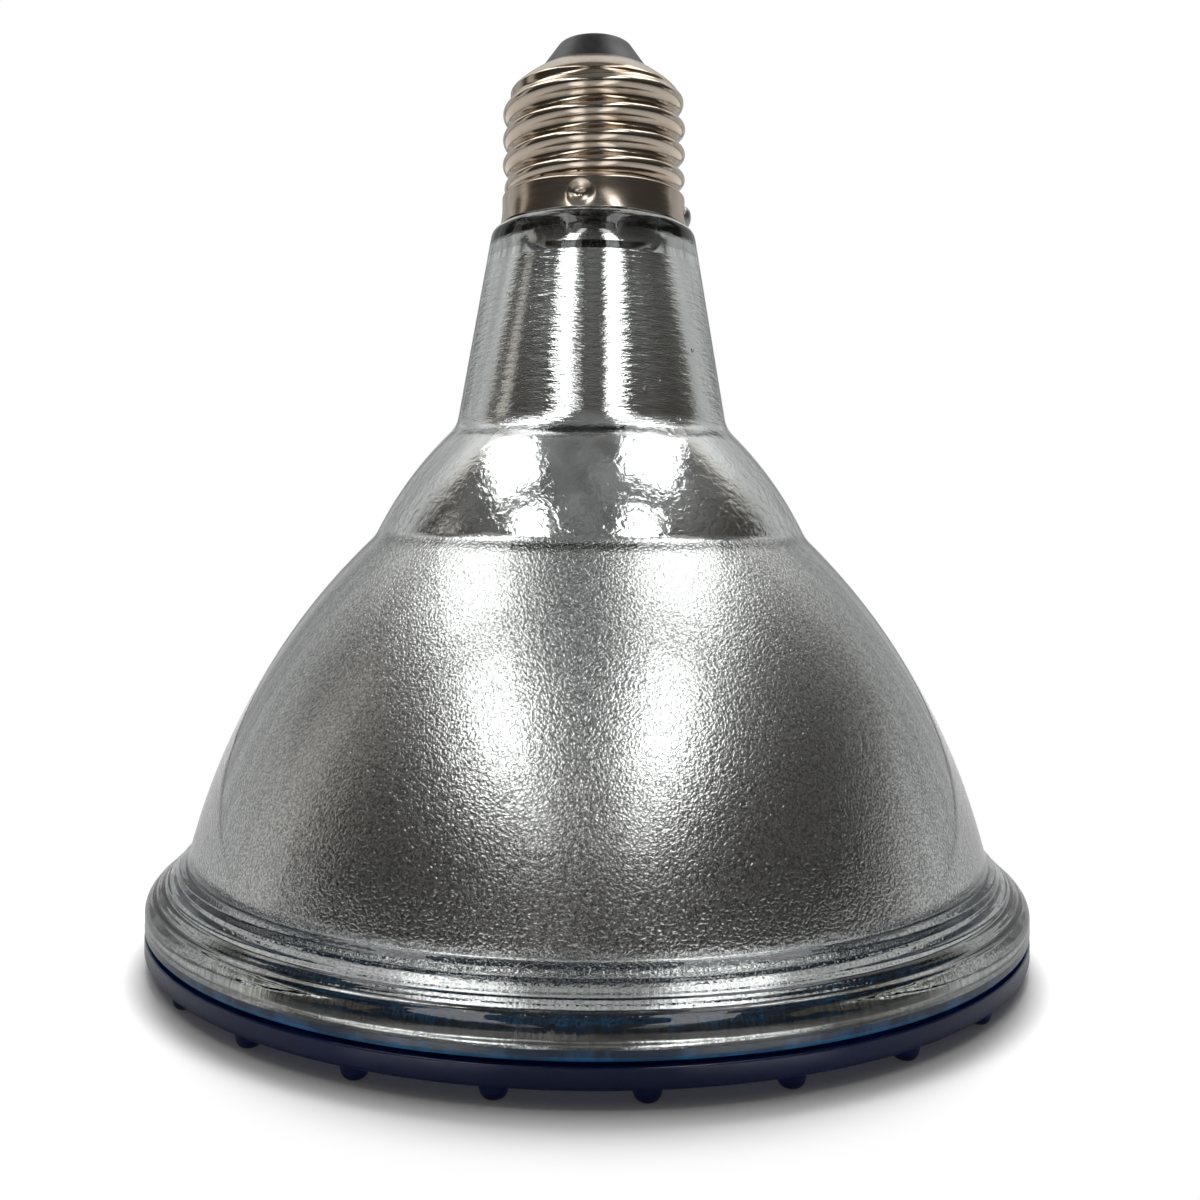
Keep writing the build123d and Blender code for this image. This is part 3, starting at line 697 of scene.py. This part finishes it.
class Nodes:
    """Emptied node tree of a material or the world, with short calls for the nodes that the finishes
    need."""

    def __init__(self, owner):
        owner.use_nodes = True
        self.tree = owner.node_tree
        self.tree.nodes.clear()

    def fill(self, node, inputs):
        """Fills a node's inputs: linked where a socket is given and set where a value is."""
        for key, value in inputs.items():
            if isinstance(value, NodeSocket):
                self.tree.links.new(value, node.inputs[key])
            else:
                node.inputs[key].default_value = value

    def add(self, kind, inputs=None, **settings):
        """A node with its settings and inputs."""
        node = self.tree.nodes.new(kind)
        for key, value in settings.items():
            setattr(node, key, value)
        self.fill(node, inputs or {})
        return node

    def math(self, operation, *values):
        """Output of a math node, or of a chain of them where there are more than two values."""
        if len(values) > 2:
            values = (self.math(operation, *values[:-1]), values[-1])
        return self.add("ShaderNodeMath", dict(enumerate(values)), operation=operation).outputs[0]

    plus = partialmethod(math, "ADD")
    times = partialmethod(math, "MULTIPLY")
    most = partialmethod(math, "MAXIMUM")

    def away(self, value, middle):
        """How far a value is from a middle."""
        return self.math("ABSOLUTE", self.math("SUBTRACT", value, middle))

    def bearing(self, axes):
        """Angle about the axis of a point or direction, from the front towards the right."""
        return self.math("ARCTAN2", axes["X"], self.times(axes["Y"], -1.0))

    def ramp(self, value, low, high, to_low=0.0, to_high=1.0):
        """Value mapped smoothly from one range to another."""
        inputs = {"Value": value, "From Min": low, "From Max": high, "To Min": to_low, "To Max": to_high}
        return self.add("ShaderNodeMapRange", inputs, interpolation_type="SMOOTHSTEP").outputs["Result"]

    def noise(self, vector, scale, detail=2.0, rough=0.5, distortion=0.0):
        """Noise of so many waves to the unit of its coordinates, which is a metre on a piece."""
        inputs = {"Vector": vector, "Scale": scale, "Detail": detail, "Roughness": rough,
                  "Distortion": distortion}
        return self.add("ShaderNodeTexNoise", inputs).outputs["Fac"]

    def mix(self, factor, first, second):
        """Number between two numbers."""
        return self.add("ShaderNodeMix", {0: factor, 2: first, 3: second}).outputs[0]

    def blend(self, factor, *tones):
        """Colour between two colours."""
        first, second = (tone if isinstance(tone, NodeSocket) else (*tone, 1.0) for tone in tones)
        return self.add("ShaderNodeMix", {0: factor, 6: first, 7: second}, data_type="RGBA").outputs[2]


def glass_inputs(tone, rough, through):
    """Shader inputs of a glass: its own colour, its roughness and how much light goes through."""
    return {"Base Color": (*tone, 1.0), "Roughness": rough, "IOR": IOR, "Transmission Weight": through}


class Finish(Nodes):
    """A material of one principled shader that reads object coordinates."""

    def __init__(self, name, inputs):
        self.material = bpy.data.materials.new(name)
        super().__init__(self.material)
        self.shader = self.add("ShaderNodeBsdfPrincipled", inputs)
        self.output = self.add("ShaderNodeOutputMaterial", {"Surface": self.shader.outputs["BSDF"]})
        self.coords = self.add("ShaderNodeTexCoord").outputs["Object"]

    def axes(self):
        """The three coordinates."""
        return self.add("ShaderNodeSeparateXYZ", {"Vector": self.coords}).outputs

    def upright(self, factor, level=1.0):
        """Coordinates scaled by one factor upwards and another level."""
        inputs = {"Vector": self.coords, "Scale": (level, level, factor)}
        return self.add("ShaderNodeMapping", inputs).outputs["Vector"]

    def relief(self, height, unit_rise=1.0):
        """Normal from a height whose unit is a given distance."""
        return self.add("ShaderNodeBump", {"Height": height, "Distance": unit_rise}).outputs["Normal"]

    def done(self, inputs, tint=None, density=0.0):
        """The material, with the rest of the shader's inputs. A solid with a tint colours the light that
        crosses it."""
        self.fill(self.shader, inputs)
        if tint:
            volume = self.add("ShaderNodeVolumeAbsorption", {"Color": (*tint, 1.0), "Density": density})
            self.fill(self.output, {"Volume": volume.outputs["Volume"]})
        return self.material


def clear_glass(s):
    """Clear pressed glass: wavy skin, lapping on the flange and at the junctions, a few blisters in the
    neck, a hazy edge on the flange, and a teal tint that deepens with the way through it."""
    f = Finish("clear_pressed_glass", glass_inputs(WHITE, 0.0, 1.0))
    band_top, bowl_foot, dome_foot, neck_foot, _ = glass_levels(s)
    height = f.axes()["Z"]
    waves = f.times(f.noise(f.coords, 260.0, detail=1.0), 0.02 * MM)
    on_flange = f.times(f.ramp(height, bowl_foot, bowl_foot + 1.2 * MM, 1.0, 0.0),
                        f.ramp(height, band_top - 1.5 * MM, band_top + 1.0 * MM, 0.15, 1.0))
    joins = ((neck_foot, 0.8, 2.6, 1.0), (dome_foot, 0.6, 1.8, 0.6), (bowl_foot, 0.3, 1.5, 2.2))
    at_joins = [f.ramp(f.away(height, at), near * MM, far * MM, much, 0.0) for at, near, far, much in joins]
    lapping = f.noise(f.upright(1.0, level=0.18), 1100.0, distortion=0.4)
    laps = f.times(lapping, f.most(on_flange, *at_joins), s.lapping)
    cells = f.add("ShaderNodeTexVoronoi", {"Vector": f.coords, "Scale": 190.0}).outputs["Distance"]
    blisters = f.times(f.ramp(cells, 0.03, 0.08, 0.1 * MM, 0.0),
                       f.ramp(height, neck_foot - 8 * MM, neck_foot))
    on_band = f.times(f.ramp(height, SEAL_Z + 0.7 * MM, SEAL_Z + 1.1 * MM),
                      f.ramp(height, band_top - 0.7 * MM, band_top, s.band_haze, 0.0))
    skin = f.relief(f.plus(waves, laps, blisters))
    return f.done({"Normal": skin, "Roughness": on_band}, s.tint, s.tint_density)


def stem_glass(s):
    """Drawn clear glass with a faint wave, tinted as the pressed glass is."""
    f = Finish("stem_glass", glass_inputs(WHITE, 0.02, 1.0))
    return f.done({"Normal": f.relief(f.noise(f.coords, 300.0), 0.03 * MM)}, s.tint, s.tint_density)


def blue_glass(s):
    """Deep blue glass with a wavy skin, which darkens with the way through it."""
    f = Finish("blue_pressed_glass", glass_inputs(s.body, 0.06, 0.7))
    skin = f.relief(f.noise(f.coords, 400.0, detail=3.0), 0.05 * MM)
    return f.done({"Normal": skin}, s.tint, s.tint_density)


def fused_seal(s):
    """Blue seal glass, streaked along the rim and deeper on its turned-up edge."""
    f = Finish("fused_blue_seal", {"Roughness": 0.25, "IOR": IOR})
    streaks = f.ramp(f.noise(f.upright(0.2), 300.0, detail=3.0), 0.35, 0.65, 0.5, 0.0)
    on_edge = f.ramp(f.axes()["Z"], SEAL_Z + 0.05 * MM, SEAL_Z + 0.3 * MM, 0.0, 0.75)
    return f.done({"Base Color": f.blend(f.plus(streaks, on_edge), s.seal_blue, toned(s.seal_blue, 0.15))})


def mirror_film(s, name, cover):
    """Aluminium film: fine stipple on the bowl with painted shade in its hollows, running ripples on the
    small dome and level streaks in the neck."""
    f = Finish(name, {"Metallic": 1.0, "Alpha": cover})
    _, bowl_foot, dome_foot, neck_foot, _ = glass_levels(s)
    height = f.axes()["Z"]
    edge = s.wall / 3
    above_bowl = f.ramp(height, dome_foot - 2 * edge, dome_foot - edge)
    above_dome = f.ramp(height, neck_foot - 2 * edge, neck_foot - edge)
    in_bowl = f.math("SUBTRACT", 1.0, above_bowl)
    stipple = f.noise(f.coords, 1.0 / s.stipple_pitch, detail=1.0, distortion=0.5)
    depth = f.ramp(height, SEAL_Z, bowl_foot, s.foot_stipple * s.stipple, s.stipple)
    ripple = f.noise(f.coords, 850.0, detail=3.0, distortion=0.8)
    on_dome = f.times(ripple, f.ramp(height, neck_foot - edge, dome_foot, 0.35, 1.0), s.ripple)
    streaks = f.noise(f.upright(4.0), 420.0, detail=3.0, rough=0.65)
    upper = f.mix(above_dome, on_dome, f.times(streaks, 0.9 * s.ripple))
    # Painted shade: the film's colour darkens in the stipple's hollows on the bowl
    hollow_shade = f.times(f.ramp(stipple, 0.36, 0.58, 1.0, 0.0), in_bowl)
    bowl_haze = f.ramp(height, bowl_foot - 3 * edge, bowl_foot, s.foot_haze, s.stipple_haze)
    return f.done({
        "Base Color": f.blend(hollow_shade, s.film_colour, toned(s.film_colour, s.painted_hollow_shade)),
        "Roughness": f.mix(above_bowl, bowl_haze, s.neck_haze),
        "Normal": f.relief(f.plus(f.times(stipple, depth, in_bowl), f.times(upper, above_bowl))),
    })


def nickel_plate(s):
    """Nickel on rolled brass: turned lines round the axis, browner in the thread's valleys and duller on the
    skirt."""
    f = Finish("nickel_plate", {"Metallic": 1.0})
    axes = f.axes()
    across = f.math("POWER", f.plus(f.times(axes["X"], axes["X"]), f.times(axes["Y"], axes["Y"])), 0.5)
    valley = f.ramp(across, CREST_RADIUS - s.thread_depth, CREST_RADIUS - s.thread_depth / 3, 1.0, 0.0)
    patches = f.noise(f.coords, 220.0, detail=4.0, rough=0.65)
    # Darker, browner patches in the thread's valleys
    valley_patches = f.times(valley, f.ramp(patches, 0.3, 0.75))
    lines = f.noise(f.upright(40.0), 150.0, detail=3.0, rough=0.7)
    skirt_top = SHELL_BOTTOM + s.skirt_height
    satin = f.ramp(axes["Z"], skirt_top - 0.6 * MM, skirt_top + 0.4 * MM, 1.4, 1.0)
    grain = f.plus(f.times(lines, 0.3), f.noise(f.coords, 500.0))
    return f.done({
        "Base Color": f.blend(valley_patches, s.nickel, s.tarnish),
        "Roughness": f.times(f.ramp(lines, 0.2, 0.8, 0.10, 0.20), satin),
        "Normal": f.relief(grain, 0.010 * MM),
    })


def black_insulator(s):
    """Satin black moulding with a fine grain and a faint bloom."""
    f = Finish("black_insulator", {"IOR": IOR})
    bloom = f.ramp(f.noise(f.coords, 300.0, detail=4.0, rough=0.7), 0.4, 0.8)
    return f.done({
        "Base Color": f.blend(bloom, s.insulator_black, toned(s.insulator_black, 3.0)),
        "Roughness": f.ramp(bloom, 0.0, 1.0, 0.38, 0.55),
        "Normal": f.relief(f.noise(f.coords, 2500.0), 0.02 * MM),
    })


def plain_metal(name, tone, rough, grain_scale, grain):
    """Metal of one tone with patchy roughness and a grain."""
    f = Finish(name, {"Metallic": 1.0})
    patches = f.noise(f.coords, grain_scale, detail=3.0)
    return f.done({
        "Base Color": f.blend(f.ramp(patches, 0.3, 0.7), tone, toned(tone, 0.7)),
        "Roughness": f.ramp(patches, 0.3, 0.7, rough, 1.6 * rough),
        "Normal": f.relief(patches, grain),
    })


# Studio

def pale_floor(s):
    """Pale matt floor: lit and shaded near the lamp, plain white to the camera further out, with a faint
    painted glow all over that lifts its shadow. The mirror shows it dimmer, with two pools of light at the
    front."""
    matt = {"Roughness": 0.9, "Specular IOR Level": 0.0, "Emission Color": (*WHITE, 1.0)}
    # Painted light: a faint glow all over the floor, which lifts its shadow
    f = Finish("pale_floor", {**matt, "Emission Strength": s.painted_floor_glow})
    out = f.add("ShaderNodeVectorMath", {0: f.coords}, operation="LENGTH").outputs["Value"]
    direct = f.add("ShaderNodeLightPath").outputs["Is Camera Ray"]
    bearing = f.bearing(f.axes())
    off = f.math("MINIMUM", *(f.away(bearing, middle) for middle in POOL_BEARINGS))
    pool = f.times(f.ramp(off, 0.4 * POOL_HALF, POOL_HALF, 1.0, 0.0),
                   f.ramp(out, RIM_RADIUS + 4 * MM, RIM_RADIUS + 14 * MM))
    mirrored = f.blend(pool, s.floor_mirrored, s.pool)
    far = f.times(f.ramp(out, RIM_RADIUS, RIM_RADIUS + 14 * MM), direct)
    white = f.add("ShaderNodeEmission", {"Color": (*WHITE, 1.0), "Strength": 1.0}).outputs[0]
    lit_or_white = f.add("ShaderNodeMixShader", {0: far, 1: f.shader.outputs["BSDF"], 2: white}).outputs[0]
    f.fill(f.output, {"Surface": lit_or_white})
    return f.done({"Base Color": f.blend(direct, mirrored, s.floor)})


def strip(f, bearing, up, middle, half, top, tone):
    """Brightness of an upright strip of the tent about one bearing, up to a height."""
    below = f.ramp(up, top - 0.1, top + 0.1, 1.0, 0.0)
    return f.times(f.ramp(f.away(bearing, middle), 0.5 * half, half, tone, 0.0), below)


def tent_world(s):
    """White tent round the lamp, by direction alone: pale folded walls at the sides and back, a dim roof,
    and a dark open front with a grey card in it and a pale strip at the left. Up and back are parts of a
    direction of length one. The camera, and what is seen straight through clear glass, gets plain white."""
    world = bpy.data.worlds.new("tent")
    bpy.context.scene.world = world
    f = Nodes(world)
    way = f.add("ShaderNodeTexCoord").outputs["Generated"]
    axes = f.add("ShaderNodeSeparateXYZ", {"Vector": way}).outputs
    back, up = axes["Y"], axes["Z"]
    bearing = f.bearing(axes)
    cloth = {"W": bearing, "Scale": 8.0, "Detail": 1.0}
    folds = f.add("ShaderNodeTexNoise", cloth, noise_dimensions="1D").outputs["Fac"]
    wall = f.times(f.ramp(folds, 0.3, 0.7, 0.7, 1.3), f.ramp(up, 0.05, 0.25, 1.1 * s.wall_tone, s.wall_tone))
    card = strip(f, bearing, up, CARD_BEARING, CARD_HALF, CARD_TOP, s.card_tone)
    pale = strip(f, bearing, up, STRIP_BEARING, STRIP_HALF, STRIP_TOP, s.strip_tone)
    front = f.most(f.ramp(up, 0.08, 0.26, s.horizon_tone, s.front_tone), card, pale)
    wall_edge = f.ramp(up, 0.15, 0.40, 0.0, 0.36)
    beside = f.ramp(f.math("SUBTRACT", back, wall_edge), 0.0, 0.2)
    to_roof = f.times(f.ramp(up, 0.45, 0.85), f.ramp(back, 0.2, 0.45, 1.0, 0.0))
    roof = f.ramp(f.noise(way, 7.0, detail=1.0), 0.3, 0.7, 0.6 * s.roof_tone, 1.4 * s.roof_tone)
    to_back = f.times(f.ramp(back, 0.3, 0.5), f.ramp(up, 0.45, 0.65))
    level = f.mix(to_back, f.mix(to_roof, f.mix(beside, front, wall), roof), s.back_tone)
    path = f.add("ShaderNodeLightPath").outputs
    unbent = f.math("LESS_THAN", path["Glossy Depth"], 0.5)
    seen = f.most(path["Is Camera Ray"], f.times(path["Is Transmission Ray"], unbent))
    tone = f.blend(f.most(beside, to_roof, seen), s.front_colour, WHITE)
    light = f.add("ShaderNodeBackground", {"Color": tone, "Strength": f.mix(seen, level, 1.0)})
    f.add("ShaderNodeOutputWorld", {"Surface": light.outputs["Background"]})


def softbox(name, place, size, level, floor, mirrored):
    """Rectangular lamp that faces straight down, of a given brightness: its power is brightness times pi
    times area. It may be kept out of the floor's light, or out of the mirror."""
    lamp = bpy.data.lights.new(name, "AREA")
    lamp.shape = "RECTANGLE"
    lamp.size, lamp.size_y = size
    lamp.energy = level * pi * size[0] * size[1]
    box = bpy.data.objects.new(name, lamp)
    box.location = place
    box.visible_camera = False
    box.visible_diffuse = floor
    box.visible_glossy = mirrored
    box.visible_transmission = mirrored
    bpy.context.scene.collection.objects.link(box)


# Operators

class BULB_OT_glass(Operator):
    """Pressed glass bowl, small dome, neck and plug, with the mirror film on its inner face"""
    bl_idname = "bulb.glass"
    bl_label = "Reflector glass"

    def execute(self, context):
        glass, base = context.scene.bulb_glass, context.scene.bulb_base
        body = turned(glass_outline(glass, base), glass.segments)
        piece("glass_bowl_and_neck", body, clear_glass(glass), "reflector_glass", crease=50)
        film = turned(film_outline(glass, base, 0.0, glass.film_top), glass.segments)
        piece("mirror_on_glass", film, mirror_film(glass, "mirror_film", 1.0))
        edge = film_outline(glass, base, glass.film_top + glass.film_break, SHELL_BOTTOM)
        overspray = mirror_film(glass, "thin_mirror_film", glass.overspray)
        piece("thin_mirror_edge", turned(edge, glass.segments), overspray)
        return {"FINISHED"}


class BULB_OT_lens(Operator):
    """Blue lens with its ring of nubs, and the seal that joins it to the flange"""
    bl_idname = "bulb.lens"
    bl_label = "Front lens"

    def execute(self, context):
        lens, glass = context.scene.bulb_lens, context.scene.bulb_glass
        disc = turned_solid(lens_outline(lens, glass), glass.segments)
        piece("blue_lens", merged(disc, *nubs(lens)), blue_glass(lens), "front_lens", crease=50)
        piece("fused_seal", turned(seal_outline(glass), glass.segments), fused_seal(glass))
        return {"FINISHED"}


class BULB_OT_base(Operator):
    """Screw shell, insulator, contact and the two solder joints"""
    bl_idname = "bulb.base"
    bl_label = "Screw base"

    def execute(self, context):
        base = context.scene.bulb_base
        piece("rolled_screw_shell", shell_surface(base), nickel_plate(base), "screw_shell")
        ring = turned(insulator_outline(base), INSULATOR_FACES)
        piece("insulator_cone", ring, black_insulator(base), "base_insulator")
        brass = plain_metal("contact_brass", base.brass, 0.25, 900.0, 0.01 * MM)
        piece("contact_disc", contact_surface(), brass, "centre_contact")
        solder = plain_metal("tin_solder", base.solder, 0.28, 1200.0, 0.06 * MM)
        piece("contact_solder_dot", contact_dot(), solder, "contact_solder")
        piece("side_solder_blob", side_blob(), solder, "side_solder")
        return {"FINISHED"}


class BULB_OT_mount(Operator):
    """Stem glass, lead wires, anchors and the coiled filament inside"""
    bl_idname = "bulb.mount"
    bl_label = "Filament mount"

    def execute(self, context):
        mount = context.scene.bulb_mount
        finish_node("glass_stem", stem_glass(context.scene.bulb_glass))
        lead = plain_metal("lead_nickel", mount.lead, 0.22, 800.0, 0.005 * MM)
        for node in ("lead_wire_centre", "lead_wire_side", "anchor_wires"):
            finish_node(node, lead)
        tungsten = plain_metal("tungsten", mount.tungsten, 0.35, 2000.0, 0.01 * MM)
        piece("coiled_filament", filament_coil(mount), tungsten, "filament")
        return {"FINISHED"}


class BULB_OT_stage(Operator):
    """Pale floor, strip lamps, tent and camera"""
    bl_idname = "bulb.stage"
    bl_label = "Studio"

    def execute(self, context):
        studio = context.scene.bulb_studio
        scene = context.scene
        scene.view_settings.view_transform = "Standard"
        mesh = bpy.data.meshes.new("pale_floor")
        sides = ((-1, -1), (1, -1), (1, 1), (-1, 1))
        corners = [(x * FLOOR_REACH, y * FLOOR_REACH, -FLOOR_SINK) for x, y in sides]
        mesh.from_pydata(corners, [], [(0, 1, 2, 3)])
        mesh.materials.append(pale_floor(studio))
        ground = bpy.data.objects.new("pale_floor", mesh)
        scene.collection.objects.link(ground)
        tent_world(studio)
        for name, (x, y, width, depth, level, floor, mirrored) in LAMPS.items():
            high = studio.lamp_height + (0.0 if mirrored else TOP_LAMP_RISE)
            softbox(name, (x, y, high), (width, depth), getattr(studio, level), floor, mirrored)
        view = bpy.data.cameras.new("camera")
        view.sensor_width = SENSOR_WIDTH
        view.lens, view.shift_x, view.shift_y = studio.focal, studio.shift_x, studio.shift_y
        view.clip_start = NEAREST_SEEN
        camera = bpy.data.objects.new("camera", view)
        camera.location = (0.0, -studio.distance, studio.height)
        camera.rotation_euler = (pi / 2, -studio.roll, 0.0)
        scene.collection.objects.link(camera)
        scene.camera = camera
        return {"FINISHED"}


class BULB_PT_sidebar(Panel):
    """Lists the bulb's pieces in the sidebar"""
    bl_label = "Reflector bulb"
    bl_idname = "BULB_PT_sidebar"
    bl_space_type = "VIEW_3D"
    bl_region_type = "UI"
    bl_category = "Bulb"

    def draw(self, context):
        for operator in OPERATORS:
            self.layout.operator(operator.bl_idname)


SETTINGS = {
    "bulb_glass": GlassSettings,
    "bulb_lens": LensSettings,
    "bulb_base": BaseSettings,
    "bulb_mount": MountSettings,
    "bulb_studio": StudioSettings,
}
OPERATORS = [BULB_OT_glass, BULB_OT_lens, BULB_OT_base, BULB_OT_mount, BULB_OT_stage]
CLASSES = [*SETTINGS.values(), *OPERATORS, BULB_PT_sidebar]


def register():
    """Adds the classes and hangs the settings on the scene."""
    for added in CLASSES:
        bpy.utils.register_class(added)
    for name, group in SETTINGS.items():
        setattr(bpy.types.Scene, name, PointerProperty(type=group))


def unregister():
    """Takes the settings and classes away again."""
    for name in SETTINGS:
        delattr(bpy.types.Scene, name)
    for added in reversed(CLASSES):
        bpy.utils.unregister_class(added)


def main():
    """Makes the pieces and the studio."""
    register()
    bpy.ops.bulb.glass()
    bpy.ops.bulb.lens()
    bpy.ops.bulb.base()
    bpy.ops.bulb.mount()
    bpy.ops.bulb.stage()


if __name__ == "__main__":
    main()
